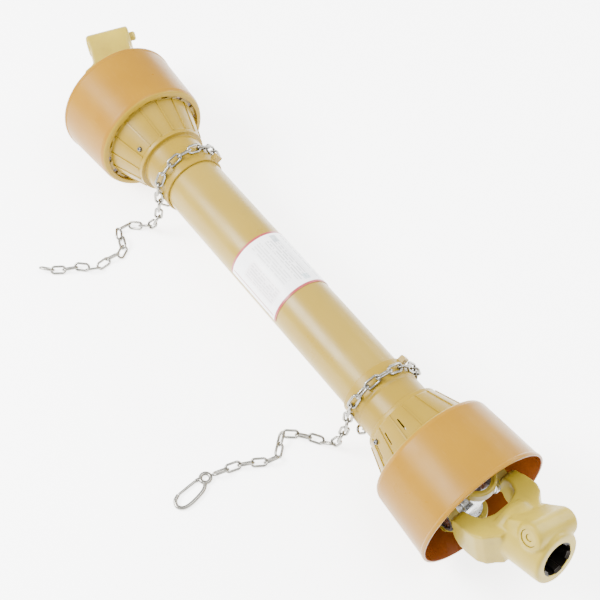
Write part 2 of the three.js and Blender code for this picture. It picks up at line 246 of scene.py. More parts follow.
def end_matrix(end, distance=JOINT_X):
    return move(ENDS[end]["side"] * distance, 0, AXIS_Z) @ turn_z(0 if ENDS[end]["side"] > 0 else 180)


def cross_matrix(end):
    return end_matrix(end) @ turn_z(ENDS[end]["yaw"])


def yoke_matrix(end):
    return cross_matrix(end) @ turn_y(-ENDS[end]["lift"])


def lobe_matrix(end):
    return yoke_matrix(end) @ turn_x(-ENDS[end]["lobe"])


def tube_yoke_matrix(end):
    return end_matrix(end) @ turn_z(180) @ turn_x(90)


# ---------------------------------------------------------------- materials
def linear(hex_colour):
    parts = [int(hex_colour[i : i + 2], 16) / 255 for i in (0, 2, 4)]
    return [c / 12.92 if c <= 0.04045 else ((c + 0.055) / 1.055) ** 2.4 for c in parts]


class Paint:
    """Small builder for a procedural material round one Principled shader."""

    def __init__(self, name):
        self.material = bpy.data.materials.new(name)
        self.material.use_nodes = True
        self.nodes = self.material.node_tree.nodes
        self.links = self.material.node_tree.links
        self.shader = self.nodes["Principled BSDF"]
        self.coord = self.nodes.new("ShaderNodeTexCoord").outputs["Object"]

    def set(self, **values):
        for key, value in values.items():
            self.shader.inputs[key.replace("_", " ")].default_value = value
        return self

    def link(self, a, b):
        self.links.new(a, b)

    def noise(self, scale, detail=3.0, rough=0.5, stretch=None, distortion=0.0):
        node = self.nodes.new("ShaderNodeTexNoise")
        node.inputs["Scale"].default_value = scale
        node.inputs["Detail"].default_value = detail
        node.inputs["Roughness"].default_value = rough
        node.inputs["Distortion"].default_value = distortion
        source = self.coord
        if stretch:
            mapping = self.nodes.new("ShaderNodeMapping")
            mapping.inputs["Scale"].default_value = stretch
            self.link(self.coord, mapping.inputs["Vector"])
            source = mapping.outputs["Vector"]
        self.link(source, node.inputs["Vector"])
        return node.outputs["Fac"]

    def ramp(self, value, low, high, to_low=0.0, to_high=1.0):
        node = self.nodes.new("ShaderNodeMapRange")
        node.inputs["From Min"].default_value = low
        node.inputs["From Max"].default_value = high
        node.inputs["To Min"].default_value = to_low
        node.inputs["To Max"].default_value = to_high
        self.link(value, node.inputs["Value"])
        return node.outputs["Result"]

    def math(self, operation, a, b=0.0, c=None):
        node = self.nodes.new("ShaderNodeMath")
        node.operation = operation
        for socket, value in zip(node.inputs, (a, b, c)):
            if value is None:
                continue
            if isinstance(value, (int, float)):
                socket.default_value = value
            else:
                self.link(value, socket)
        return node.outputs["Value"]

    def mix(self, factor, a, b, blend="MIX"):
        node = self.nodes.new("ShaderNodeMix")
        node.data_type = "RGBA"
        node.blend_type = blend
        for socket, value in ((node.inputs[0], factor), (node.inputs[6], a), (node.inputs[7], b)):
            if isinstance(value, (int, float)):
                socket.default_value = value
            elif isinstance(value, (list, tuple)):
                socket.default_value = (*value[:3], 1)
            else:
                self.link(value, socket)
        return node.outputs[2]

    def edges(self, low=0.5, high=0.6):
        geometry = self.nodes.new("ShaderNodeNewGeometry")
        return self.ramp(geometry.outputs["Pointiness"], low, high)

    def parts(self):
        node = self.nodes.new("ShaderNodeSeparateXYZ")
        self.link(self.coord, node.inputs[0])
        return node.outputs

    def bump(self, *layers):
        """Layers are (height, strength, distance in metres)."""
        previous = None
        for height, strength, distance in layers:
            node = self.nodes.new("ShaderNodeBump")
            node.inputs["Strength"].default_value = strength
            node.inputs["Distance"].default_value = distance
            self.link(height, node.inputs["Height"])
            if previous is not None:
                self.link(previous, node.inputs["Normal"])
            previous = node.outputs["Normal"]
        self.link(previous, self.shader.inputs["Normal"])

    def colour(self, socket):
        self.link(socket, self.shader.inputs["Base Color"])

    def rough(self, socket):
        self.link(socket, self.shader.inputs["Roughness"])


def plastic(name, main, deep, rough=0.34, scuff=0.5, inside=None, gloss=0.5):
    p = Paint(name)
    p.set(Roughness=rough, IOR=1.5, Specular_IOR_Level=gloss)
    cloud = p.ramp(p.noise(9, 3), 0.35, 0.7)
    speck = p.ramp(p.noise(900, 2), 0.62, 0.78)
    base = p.mix(cloud, linear(main), linear(deep))
    base = p.mix(p.math("MULTIPLY", speck, 0.10), base, linear(deep))
    streak = p.ramp(p.noise(70, 5, 0.65, (1, 6, 6)), 0.55, 0.8)
    base = p.mix(p.math("MULTIPLY", streak, 0.08 * scuff), base, (0.5, 0.4, 0.2))
    # the bell's hook paints shade on its inner wall; the label's hook adds its print
    if inside:
        base = inside(p, base)
    p.colour(base)
    smear = p.noise(24, 4, 0.6)
    scratch = p.ramp(p.noise(160, 4, 0.7, (0.25, 3, 3)), 0.6, 0.72)
    r = p.ramp(smear, 0.3, 0.7, rough - 0.05, rough + 0.09)
    p.rough(p.math("ADD", r, p.math("MULTIPLY", scratch, 0.08 * scuff)))
    p.bump((p.noise(14, 2), 0.10, 0.004), (p.noise(420, 3), 0.05, 0.0004), (scratch, 0.05 * scuff, 0.0002))
    return p.material


def painted_casting(name, main, deep, worn):
    p = Paint(name)
    p.set(IOR=1.5, Specular_IOR_Level=0.22, Coat_Weight=0.08, Coat_Roughness=0.22)
    cloud = p.ramp(p.noise(22, 4), 0.35, 0.7)
    base = p.mix(cloud, linear(main), linear(deep))
    chips = p.math("MULTIPLY", p.edges(0.535, 0.6), p.ramp(p.noise(260, 4, 0.7), 0.5, 0.62))
    base = p.mix(p.math("MULTIPLY", chips, 0.55), base, linear(worn))
    grime = p.ramp(p.noise(45, 5, 0.65), 0.52, 0.75)
    base = p.mix(p.math("MULTIPLY", grime, 0.28), base, linear("57480f"))
    p.colour(base)
    p.rough(p.ramp(p.noise(38, 4), 0.3, 0.7, 0.32, 0.5))
    p.bump((p.noise(60, 4, 0.6), 0.18, 0.0012), (p.noise(520, 3, 0.6), 0.14, 0.0004))
    return p.material


def metal(name, tone, rough=0.3, dirt=0.3, brushed=None):
    p = Paint(name)
    p.set(Metallic=1.0)
    cloud = p.ramp(p.noise(60, 4), 0.35, 0.7)
    dark = [c * 0.62 for c in linear(tone)]
    base = p.mix(cloud, linear(tone), [c * 0.86 for c in linear(tone)])
    grime = p.ramp(p.noise(190, 5, 0.7), 0.5, 0.72)
    base = p.mix(p.math("MULTIPLY", grime, dirt), base, dark)
    p.colour(base)
    lines = p.noise(700, 3, 0.6, brushed or (1, 1, 1))
    ground = p.ramp(lines, 0.3, 0.7, rough - 0.07, rough + 0.08)
    p.rough(p.math("ADD", ground, p.math("MULTIPLY", grime, 0.12)))
    p.bump((lines, 0.10, 0.0002), (p.noise(130, 3), 0.08, 0.0006))
    return p.material


def bell_inner_shade_and_lip(p, base):
    """Painted shade: the bell's inner wall is darkened toward a deep orange-brown. The rear lip takes the
    cone's colour.
    """
    x, y, z = p.parts()
    z = p.math("SUBTRACT", z, AXIS_Z * MM)
    radius = p.math("SQRT", p.math("ADD", p.math("MULTIPLY", y, y), p.math("MULTIPLY", z, z)))
    away = p.math("ABSOLUTE", x)
    wall = p.math("ADD", 0.0694, p.math("MULTIPLY", p.math("SUBTRACT", away, 0.263), 0.0686))
    inner = p.ramp(p.math("SUBTRACT", wall, radius), 0.0008, 0.0020)
    inner = p.math("MULTIPLY", inner, p.ramp(away, 0.2605, 0.262))
    # painted shade: the inner wall surface is mixed 90 % toward dark orange-brown
    base = p.mix(p.math("MULTIPLY", inner, 0.9), base, linear("6a300a"))
    lip = p.math("SUBTRACT", 1.0, p.ramp(away, 0.2588, 0.2600))
    return p.mix(lip, base, linear("8a7018"))


def label_print(p, base):
    """Plain white film with red end bands and grey bars along the tube. No lettering."""
    x, y, z = p.parts()
    turn = p.math("ARCTAN2", y, p.math("SUBTRACT", z, AXIS_Z * MM))
    turn = p.math("MULTIPLY", turn, 180 / math.pi)
    along = p.math("MULTIPLY", x, 1000)

    def inside(value, low, high, soft):
        rise = p.ramp(value, low - soft, low + soft)
        return p.math("MULTIPLY", rise, p.math("SUBTRACT", 1.0, p.ramp(value, high - soft, high + soft)))

    def block(x0, x1, t0, t1, strength, colour, target):
        area = p.math("MULTIPLY", inside(along, x0, x1, 0.25), inside(turn, t0, t1, 0.5))
        return p.mix(p.math("MULTIPLY", area, strength), target, linear(colour))

    def rows(x0, x1, t0, t1, pitch, strength, target, seed):
        """Rows of broken grey bars that run along the tube."""
        area = p.math("MULTIPLY", inside(along, x0, x1, 0.3), inside(turn, t0, t1, 0.4))
        phase = p.math("FRACT", p.math("DIVIDE", p.math("ADD", turn, 400 - t0), pitch))
        above = p.math("SUBTRACT", 1.0, p.ramp(phase, 0.68, 0.78))
        bar = p.math("MULTIPLY", p.ramp(phase, 0.22, 0.32), above)
        row = p.math("FLOOR", p.math("DIVIDE", p.math("ADD", turn, 400 - t0), pitch))
        cell = p.math("FLOOR", p.math("MULTIPLY", along, 0.62))
        mixed = p.math("ADD", p.math("MULTIPLY", cell, 12.9898 + seed), p.math("MULTIPLY", row, 78.233))
        draw = p.math("SINE", mixed)
        draw = p.math("FRACT", p.math("MULTIPLY", p.math("ABSOLUTE", draw), 437.58))
        ink = p.math("MULTIPLY", p.math("MULTIPLY", area, bar), p.ramp(draw, 0.18, 0.2))
        return p.mix(p.math("MULTIPLY", ink, strength), target, linear("2e3034"))

    film = linear("f3f3f4")
    film = rows(-27, 36, 2, 30, 5.6, 0.42, film, 0.0)
    film = rows(-30, 30, -24, -3, 5.2, 0.28, film, 3.0)
    film = block(-33, -22, 18, 31, 0.6, "8b9aa0", film)
    film = block(30, 38, 14, 27, 0.5, "86a9b0", film)
    film = rows(-33, 40, 44, 58, 14, 0.85, film, 7.0)
    film = rows(-31, 38, 66, 100, 6.5, 0.6, film, 9.0)
    film = block(-18, 34, -66, -32, 0.22, "c9a9ac", film)
    film = rows(-16, 32, -64, -34, 5.0, 0.3, film, 5.0)
    film = block(-34, 40, -80, -77.5, 0.85, "8c0f14", film)
    film = block(-39.5, -36.0, -90, 134, 0.97, "8c0f14", film)
    film = block(42.0, 45.5, -90, 134, 0.97, "8c0f14", film)
    return film


MATERIALS = {
    "bell": plastic("bell_plastic", "8b640c", "80590a", 0.3, 0.5, bell_inner_shade_and_lip, 0.12),
    "cone": plastic("cone_plastic", "8a7018", "7e6614", 0.32, 0.5, gloss=0.2),
    "tube": plastic("tube_plastic", "8f7726", "876f20", 0.3, 0.5, gloss=0.3),
    "yoke": painted_casting("yoke_paint", "a08c2a", "917c20", "a89a62"),
    "steel": metal("bright_steel", "b9bbbe", 0.27, 0.35),
    "dark": metal("dark_steel", "6f7073", 0.4, 0.5),
    # painted shade: near-black steel for the inside of the spline bore
    "bore": metal("spline_bore_painted_shade", "2c2925", 0.45, 0.6),
    "knob": painted_casting("knob_paint", "b09a3c", "9a862e", "b8ab78"),
    "zinc": metal("zinc_plate", "8d8b84", 0.26, 0.75),
    "nylon": plastic("nylon", "e9e2cc", "ddd4b8", 0.4, 0.3),
    "label": plastic("label_film", "f3f3f4", "e9e9ea", 0.3, 0.15, label_print),
}


def paint(obj, material):
    obj.data.materials.clear()
    obj.data.materials.append(MATERIALS[material])


def piece(obj, body, material, *nodes, slot=None):
    paint(obj, material)
    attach(obj, body)
    if nodes:
        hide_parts(*nodes)
    return obj


# ---------------------------------------------------------------- chains (cords)
CHAIN_X = 180.0
NECK_R = 37.8
LINK_WIRE = 2.9
LINK_LENGTH = 19.6
LINK_WIDTH = 11.0
NEAR_FLOOR = [
    (180, -43.5, 54), (177, -46.5, 32), (172, -50, 14), (164, -55, 5.4), (154, -60, 4.4), (144, -68, 4.4),
    (133, -78, 4.4), (128, -88, 4.4), (137, -97, 4.4), (145, -107, 4.4), (143, -120, 4.4),
    (135, -134, 4.4), (129, -148, 4.4), (126, -161, 4.4), (123.5, -171.4, 4.4),
]
FAR_FLOOR = [
    (-180, -43.5, 54), (-183, -46.5, 32), (-193, -52, 14), (-207, -61, 5.4), (-217, -73, 4.4),
    (-212, -86, 4.4), (-196, -91, 4.4), (-184, -99, 4.4), (-186, -111, 4.4), (-183, -125, 4.4),
    (-184, -139, 4.4), (-195, -149, 4.4), (-201, -162, 4.4), (-208, -175, 4.4), (-221, -187, 4.4),
]


def chain_route(x, outward, floor):
    radius = NECK_R + 4.35
    points = []
    degrees = -125
    while degrees >= -455:
        angle = math.radians(degrees)
        drift = outward * 9.4 * (degrees + 455) / 330
        points.append((x + drift, radius * math.sin(angle), AXIS_Z + radius * math.cos(angle)))
        degrees -= 11
    return points + floor, len(points)


def curve_point(a, b, c, d, t):
    """A point at t between b and c on the Catmull-Rom curve through a, b, c and d."""
    bend = (2 * a - 5 * b + 4 * c - d) * t * t
    return 0.5 * ((2 * b) + (c - a) * t + bend + (3 * b - a - 3 * c + d) * t**3)


def smooth_path(points, step=1.0):
    """A Catmull-Rom curve through the points, resampled evenly. Returns points in mm."""
    pts = [Vector(p) for p in points]
    pts = [pts[0] * 2 - pts[1]] + pts + [pts[-1] * 2 - pts[-2]]
    fine = []
    for i in range(1, len(pts) - 2):
        a, b, c, d = pts[i - 1], pts[i], pts[i + 1], pts[i + 2]
        for k in range(12):
            t = k / 12
            fine.append(curve_point(a, b, c, d, t))
    fine.append(pts[-2])
    total = sum((b - a).length for a, b in zip(fine, fine[1:]))
    count = max(2, round(total / step))
    out, travelled, want, i = [fine[0].copy()], 0.0, total / count, 0
    target = want
    for a, b in zip(fine, fine[1:]):
        length = (b - a).length
        while travelled + length >= target - 1e-9 and len(out) < count:
            out.append(a.lerp(b, (target - travelled) / length))
            target += want
        travelled += length
    out.append(fine[-1].copy())
    return out, total


def link_mesh(bm, centre, tangent, normal, length=LINK_LENGTH, width=LINK_WIDTH, wire=LINK_WIRE):
    """One oval link of round wire in the plane of tangent and normal."""
    side = tangent.cross(normal).normalized()
    rim = (width - wire) / 2
    straight = (length - wire) / 2 - rim
    loop = []
    for k in range(10):
        a = math.pi * (k + 0.5) / 10 - math.pi / 2
        loop.append((straight + rim * math.cos(a), rim * math.sin(a)))
    for k in range(10):
        a = math.pi * (k + 0.5) / 10 + math.pi / 2
        loop.append((-straight + rim * math.cos(a), rim * math.sin(a)))
    count = len(loop)
    rings = []
    for i, (u, v) in enumerate(loop):
        pu, pv = loop[i - 1]
        nu, nv = loop[(i + 1) % count]
        direction = (tangent * (nu - pu) + normal * (nv - pv)).normalized()
        out = direction.cross(side).normalized()
        middle = centre + tangent * u + normal * v
        ring = []
        for k in range(10):
            a = 2 * math.pi * k / 10
            ring.append(bm.verts.new((middle + (out * math.cos(a) + side * math.sin(a)) * wire / 2) * MM))
        rings.append(ring)
    for i in range(count):
        one, two = rings[i], rings[(i + 1) % count]
        for k in range(10):
            m = (k + 1) % 10
            bm.faces.new((one[k], one[m], two[m], two[k]))


def make_chain(end, x, outward, floor, seed):
    points, loop_count = chain_route(x, outward, floor)
    path, total = smooth_path(points)
    pitch = LINK_LENGTH - 2 * LINK_WIRE
    count = int(total / pitch)
    pitch = total / count
    draw = random.Random(seed)
    bm = bmesh.new()
    step = total / (len(path) - 1)
    for i in range(count):
        at = (i + 0.5) * pitch / step
        k = min(int(at), len(path) - 2)
        centre = path[k].lerp(path[k + 1], at - k)
        lo, hi = max(0, k - 4), min(len(path) - 1, k + 5)
        tangent = (path[hi] - path[lo]).normalized()
        radial = Vector((0, centre.y, centre.z - AXIS_Z)).normalized()
        weight = min(1.0, max(0.0, (centre.z - 10) / 45)) if centre.y < -42.5 else 1.0
        reference = (radial * weight + Vector((0, 0, 1)) * (1 - weight)).normalized()
        reference = (reference - tangent * reference.dot(tangent)).normalized()
        roll = math.radians((45 if i % 2 else -45) + draw.uniform(-7, 7))
        normal = Quaternion(tangent, roll) @ reference
        link_mesh(bm, centre, tangent, normal)
    obj = finish_mesh(f"link_chain_{end}", bm, angle=60)
    return obj, [p * MM for p in path[:: 4]] + ([path[-1] * MM] if (len(path) - 1) % 4 else []), total * MM


for end, sign, floor, seed in (("near", 1, NEAR_FLOOR, 3), ("far", -1, FAR_FLOOR, 5)):
    chain, route, length = make_chain(end, sign * CHAIN_X, sign, floor, seed)
    piece(chain, ENDS[end]["guard"], "zinc", f"chain_{end}")


# ---------------------------------------------------------------- snap hook
HOOK_WIRE_R = 2.2
HOOK = Matrix.Translation((0.121, -0.181, 0.0024)) @ turn_z(-76)


def wire(name, points, radius, matrix=None, sides=16, closed=False, taper=None):
    """Round wire in mm along a smooth curve through points in the XY plane."""
    pts = [Vector((*p, 0)[:3]) for p in points]
    if closed:
        fine = []
        n = len(pts)
        for i in range(n):
            a, b, c, d = pts[i - 1], pts[i], pts[(i + 1) % n], pts[(i + 2) % n]
            for k in range(8):
                t = k / 8
                fine.append(curve_point(a, b, c, d, t))
    else:
        fine, _ = smooth_path([tuple(p) for p in pts], 0.8)
    bm = bmesh.new()
    rings = []
    up = Vector((0, 0, 1))
    count = len(fine)
    for i, p in enumerate(fine):
        before = fine[i - 1] if (closed or i) else p
        after = fine[(i + 1) % count] if (closed or i < count - 1) else p
        side = (after - before).normalized().cross(up)
        r = radius * (taper(i / (count - 1)) if taper else 1)
        ring = []
        for k in range(sides):
            a = 2 * math.pi * k / sides
            ring.append(bm.verts.new((p + (side * math.cos(a) + up * math.sin(a)) * r) * MM))
        rings.append(ring)
    for i in range(count if closed else count - 1):
        one, two = rings[i], rings[(i + 1) % count]
        for k in range(sides):
            m = (k + 1) % sides
            bm.faces.new((one[k], one[m], two[m], two[k]))
    if not closed:
        bm.faces.new(rings[0])
        bm.faces.new(rings[-1])
    return finish_mesh(name, bm, matrix, 50)


def make_hook():
    eye = [(5.4 * math.cos(a), 5.4 * math.sin(a)) for a in (2 * math.pi * k / 12 for k in range(12))]
    ring = wire("hook_eye", eye, HOOK_WIRE_R, closed=True)
    bow = [(4.2, 3.4), (9, 7), (16, 8.6), (30, 8.6), (39, 6), (42.5, 0), (39, -6.2), (32.6, -8.5)]
    back = wire("hook_back", bow, HOOK_WIRE_R)
    stub = wire("hook_stub", [(4.4, -3.2), (6.6, -4.6), (9, -5.4)], HOOK_WIRE_R)
    body = boolean(ring, [back, stub], "UNION")
    pivot = rod("hook_pivot", -2.6, 2.6, 1.0, 20, move(8.6, -5.3, 0) @ ALONG_Z, 0.3)
    body = boolean(body, [pivot], "UNION")
    body.name = "snap_hook"
    body.data.transform(HOOK)
    sharpen(body, 40)
    gate = wire("snap_gate", [(9.8, -5.6), (20, -7), (31.6, -8.4)], 1.7, HOOK, taper=lambda t: 1 - 0.12 * t)
    return body, gate


hook, gate = make_hook()
piece(hook, "guard_inner", "zinc", "hook_body")
piece(gate, "hook_gate", "zinc", "hook_gate")


# ---------------------------------------------------------------- guard: bells, base cones, tubes
RIBS = 16
LUG_TURN = {"near": -58, "far": 58}  # small lug on the collar, degrees from the top


SLITS = {"near": (28, 51, 74), "far": ()}
SCREW_TURN = {"near": 71, "far": -48}


def make_bell(end):
    outline = [
        (0, 72.5, 0.6), (0, 75.0, 1.0), (-3.2, 75.0, 0.8), (-4.6, 74.2, 0.8),
        (-76, 69.4, 6.0), (-81.2, 67.4, 4.0),
        (-81.8, 61.3, 0.9), (-79.4, 61.3, 0.3), (-78.8, 65.2, 3.0), (-74, 66.8, 2.0),
    ]
    obj = lathe(f"bell_shell_{end}", outline, 192, end_matrix(end, MOUTH_X))
    return piece(obj, ENDS[end]["guard"], "bell", f"bell_{end}")


def make_cone(end, bore):
    shell = lathe(f"base_cone_shell_{end}", [
        (-75.8, 53.4, 0.4), (-75.8, 64, 0.4), (-79.05, 64, 0.3), (-79.05, 56.8, 0.9),
        (-118.4, 43.6, 2.0), (-119.6, 42.9, 0.6), (-124, 42.4, 1.2), (-124.2, 37.2, 1.2),
        (-146.6, 37.0, 1.5), (-149, 37.8, 1.5), (-172, 37.8, 0.9), (-172, bore, 0.4),
        (-121, bore, 0.2), (-121, 39.2, 0.5), (-117.5, 40.4, 1.0), (-90, 50, 1.0),
    ], 160)
    webs = []
    for i in range(RIBS):
        turn = turn_x((i + 0.5) * 360 / RIBS)
        outline = [(-77, 55), (-77, 58.1), (-80, 57.6), (-119.2, 44.3), (-119.2, 41.4)]
        webs.append(slab(f"web{i}", outline, -0.9, 0.9, "xz", turn))
    windows = []
    for i in range(RIBS):
        turn = turn_x(i * 360 / RIBS)
        outline = spread([(57.3, -4.6, 0.8), (60.9, -4.6, 0.8), (60.9, 4.6, 0.8), (57.3, 4.6, 0.8)], 3)
        windows.append(slab(f"window{i}", [(b, a) for a, b in outline], -84, -72, "yz", turn))
    for degrees in SLITS[end]:
        slot = [(-109.5, -0.8, 0.7), (-94, -0.8, 0.7), (-94, 0.8, 0.7), (-109.5, 0.8, 0.7)]
        windows.append(slab("slit", spread(slot, 3), 36, 62, "xy", turn_x(degrees)))
    hole = rod("hole", 36, 60, 2.9, 32, turn_x(SCREW_TURN[end]) @ move(-112) @ ALONG_Z, 0)
    lug = spread([(-171, 37, 1), (-171, 44.4, 2), (-164.5, 44.4, 2), (-164.5, 37, 1)])
    tab = slab("tab", lug, -5, 5, "xz", turn_x(LUG_TURN[end]))
    body = boolean(shell, [join("webs", webs), tab], "UNION")
    body = boolean(body, [join("windows", windows)])
    body = boolean(body, [hole])
    body.data.transform(end_matrix(end, MOUTH_X))
    sharpen(body, 34)
    piece(body, ENDS[end]["guard"], "cone", f"base_cone_{end}")


for end, bore in (("near", 32.4), ("far", 35.35)):
    make_bell(end)
    make_cone(end, bore)
    ring = lathe(f"bearing_{end}", [
        (-92, 30.35, 0.4), (-92, 48.8, 0.5), (-94.5, 48.2, 0.4),
        (-95, 47.2, 0.4), (-98.4, 46.2, 0.4), (-99, 30.35, 0.4),
    ], 128, end_matrix(end, MOUTH_X))
    piece(ring, ENDS[end]["guard"], "nylon", f"bearing_ring_{end}")
    screw = lathe(f"cone_screw_{end}", [
        (41.2, 0), (41.2, 2.5, 0.3), (47.4, 2.5, 0.3), (48.6, 1.9, 0.5),
        (48.6, 1.1, 0.1), (46.9, 1.0, 0.1), (46.9, 0),
    ], 48, end_matrix(end, MOUTH_X) @ turn_x(SCREW_TURN[end]) @ move(-112) @ ALONG_Z, closed=False)
    piece(screw, ENDS[end]["guard"], "dark", f"lock_screw_{end}")

SHAFT = move(0, 0, AXIS_Z)
CONE_IN = MOUTH_X - 121.35
GUARD_END = 166.4  # free end of the outer guard tube
outer_wall = [(-CONE_IN, 32.4, 0.3), (-CONE_IN, 35, 0.4), (GUARD_END, 35, 0.5), (GUARD_END, 32.4, 0.4)]
outer = lathe("guard_sleeve_outer", outer_wall, 160, SHAFT)
piece(outer, "guard_outer", "tube", "guard_tube_outer")
inner_wall = [(-150, 29.65, 0.5), (-150, 32.05, 0.6), (CONE_IN, 32.05, 0.4), (CONE_IN, 29.65, 0.3)]
inner = lathe("guard_sleeve_inner", inner_wall, 160, SHAFT)
piece(inner, "guard_inner", "tube", "guard_tube_inner")


def make_label():
    bm = bmesh.new()
    rings = []
    for i in range(111):
        a = math.radians(-88 + 2 * i)
        ring = []
        for x, r in ((-39, 35.34), (-39, 35.62), (-38.6, 35.74), (44.6, 35.74), (45, 35.62), (45, 35.34)):
            lift_off = 0.0 if 0 < i < 110 else 0.05
            reach = r - lift_off
            ring.append(bm.verts.new((x * MM, reach * math.sin(a) * MM, reach * math.cos(a) * MM)))
        rings.append(ring)
    for one, two in zip(rings, rings[1:]):
        for k in range(6):
            m = (k + 1) % 6
            bm.faces.new((one[k], one[m], two[m], two[k]))
    bm.faces.new(rings[0])
    bm.faces.new(rings[-1])
    piece(finish_mesh("label_film", bm, SHAFT), "guard_outer", "label", "label")


make_label()


# ---------------------------------------------------------------- joints: yokes, crosses, cups, pins
EAR_R = 19.5
EAR_IN = 26.0
EAR_OUT = 39.8
HUB_R = 27.0
YOKE_HALF = 20.5
HUB_END = 109.0
SHOULDER = 42.5
PIN_X = 91.5
PIN_OFFSET = 23.0
PIN_R = 5.7
CUP_R = 13.5
CROSS_HALF = 37.3
FORK_INSIDE = [(-EAR_R, EAR_IN), (27, EAR_IN, 9), (38, 22, 8), (43, 10, 14)]


def make_fork(name, outside, back_z):
    """Two rounded ears across Y on one block."""
    inside = list(FORK_INSIDE)

    def mirror(points):
        return [(p[0], -p[1], *p[2:]) for p in points]

    plan = spread(outside + mirror(outside)[::-1] + mirror(inside) + inside[::-1])
    flat = slab(f"{name}_plan", plan, -36, 36, "xy")
    back_x = outside[-1][0]
    half_turn = [math.pi / 2 + math.pi * k / 40 for k in range(41)]
    ear = [(EAR_R * math.cos(a), EAR_R * math.sin(a)) for a in half_turn]
    side = ear + spread([
        (14, -EAR_R, 12), (42, 1 - back_z, 10), (back_x, -back_z),
        (back_x, back_z), (42, back_z - 1, 10), (14, EAR_R, 12),
    ])
    upright = slab(f"{name}_side", side, -50, 50, "xz")
    return boolean(flat, [upright], "INTERSECT")


def spline_outline():
    points = []
    half, minor, major = 4.45, 14.9, 17.5
    for i in range(6):
        middle = i * math.pi / 3
        tight, wide = math.asin(half / major), math.asin(half / minor)
        for k in range(7):
            a = middle - tight + 2 * tight * k / 6
            points.append((major * math.cos(a), major * math.sin(a)))
        for k in range(7):
            a = middle + wide + (math.pi / 3 - 2 * wide) * k / 6
            points.append((minor * math.cos(a), minor * math.sin(a)))
    return points


def on_pin(way):
    return move(PIN_X, 0, PIN_OFFSET) @ (ALONG_Y if way > 0 else turn_z(-90))


def make_end_yoke(end):
    side = ENDS[end]["side"]
    name = f"yoke_forging_{end}"
    body = make_fork(name, [
        (-EAR_R, EAR_OUT), (10, EAR_OUT, 10), (27, 41.6, 8), (34, SHOULDER, 8), (47, SHOULDER, 8),
        (55, 38.5, 6), (61, 30.5, 6), (66, HUB_R - 1),
    ], YOKE_HALF)
    hub = lathe(f"{name}_hub", [(50, 0), (50, HUB_R), (HUB_END, HUB_R, 3.5), (HUB_END, 0)], 96, closed=False)
    waist = [(54, 0), (54, HUB_R + 1), (62, HUB_R + 0.6, 4), (70, HUB_R - 0.5), (70, 0)]
    neck = lathe(f"{name}_neck", waist, 96, closed=False)
    low = PIN_OFFSET - 14
    sweep = [-math.pi / 2 + math.pi * 1.14 * k / 40 for k in range(41)]
    arc = [(PIN_X + 14 * math.cos(a), PIN_OFFSET + 14 * math.sin(a)) for a in sweep]
    boss = slab(f"{name}_boss", [(62, low)] + arc + [(62, PIN_OFFSET + 1)], -24, 24, "xz")
    drum = [(-27, 0), (-27, 14, 3.5), (27, 14, 5), (27, 0)]
    barrel = lathe(f"{name}_barrel", drum, 96, on_pin(1), closed=False)
    lobe = turn_x(-ENDS[end]["lobe"])
    boss.data.transform(lobe)
    barrel.data.transform(lobe)
    body = boolean(body, [hub, neck, boss, barrel], "UNION")
    cast(body, 0.95, 14)
    place = lobe @ on_pin(side)
    flare = [(HUB_END - 2.2, 0), (HUB_END - 2.2, 15.9), (HUB_END + 1, 19.1), (HUB_END + 1, 0)]
    recess = [(20.4, 0), (20.4, 8.8, 1.0), (27.5, 9.9), (34, 12), (34, 0)]
    tools = [
        rod("bore", -60, 60, CUP_R + 0.3, 96, ALONG_Y, 0),
        slab("spline", spline_outline(), 30, HUB_END + 6, "yz"),
        lathe("chamfer", flare, 96, closed=False),
        rod("pin_hole", -34, 34, PIN_R + 0.35, 64, place, 0),
        rod("spring_pocket", -34, -7, 8.7, 64, place, 0),
        lathe("knob_recess", recess, 64, place, closed=False),
    ]
    for low_y, high_y in ((38.4, 60), (-60, -38.4)):
        tools.append(rod("ear_face", low_y, high_y, 16.4, 96, ALONG_Y, 0))
    for tool in tools:
        boolean(body, [tool])
    sharpen(body, 38)
    piece(body, f"end_yoke_{end}", "yoke", f"end_yoke_{end}")
    body.data.materials.append(MATERIALS["bore"])
    # painted shade: faces inside the spline bore get the near-black bore steel
    for face in body.data.polygons:
        middle = face.center
        if middle.x > 43 * MM and math.hypot(middle.y, middle.z) < 17.7 * MM:
            face.material_index = 1
    body.data.transform(yoke_matrix(end))


def make_tube_yoke(end):
    name = f"shaft_yoke_{end}"
    body = make_fork(name, [(-EAR_R, EAR_OUT), (24, EAR_OUT, 10), (40, 36, 8), (57, 29)], 28)
    hub = lathe(f"{name}_hub", [
        (46, 0), (46, 29), (56, 33, 2), (73.6, 33, 0.8), (73.6, 30, 0.5), (81.4, 30, 0.5), (81.4, 33, 0.8),
        (86, 33, 0.8), (86, 30, 1), (101, 30, 1.5), (101, 0),
    ], 96, closed=False)
    body = boolean(body, [hub], "UNION")
    cast(body, 1.1, 8)
    to_shaft = tube_yoke_matrix(end)
    mean = 20.9 if end == "near" else 24.5
    lobes = [(r * math.cos(a), r * math.sin(a)) for r, a in (
        (mean + 0.35 + 2.5 * math.cos(3 * t), t) for t in (2 * math.pi * k / 90 for k in range(90)))]
    side = ENDS[end]["side"]
    low, high = sorted((side * 205, side * 267))
    socket = slab("socket", lobes, low, high, "yz", to_shaft.inverted() @ SHAFT)
    for tool in (socket, rod("bore", -60, 60, CUP_R + 0.3, 96, ALONG_Y, 0),
                 rod("roll_hole", -40, 40, 4.35, 48, move(94) @ ALONG_Y, 0),
                 rod("ear_face_a", 38.4, 60, 16.4, 96, ALONG_Y, 0),
                 rod("ear_face_b", -60, -38.4, 16.4, 96, ALONG_Y, 0)):
        boolean(body, [tool])
    sharpen(body, 38)
    body.data.transform(to_shaft)
    piece(body, ENDS[end]["drive"], "yoke", f"tube_yoke_{end}")


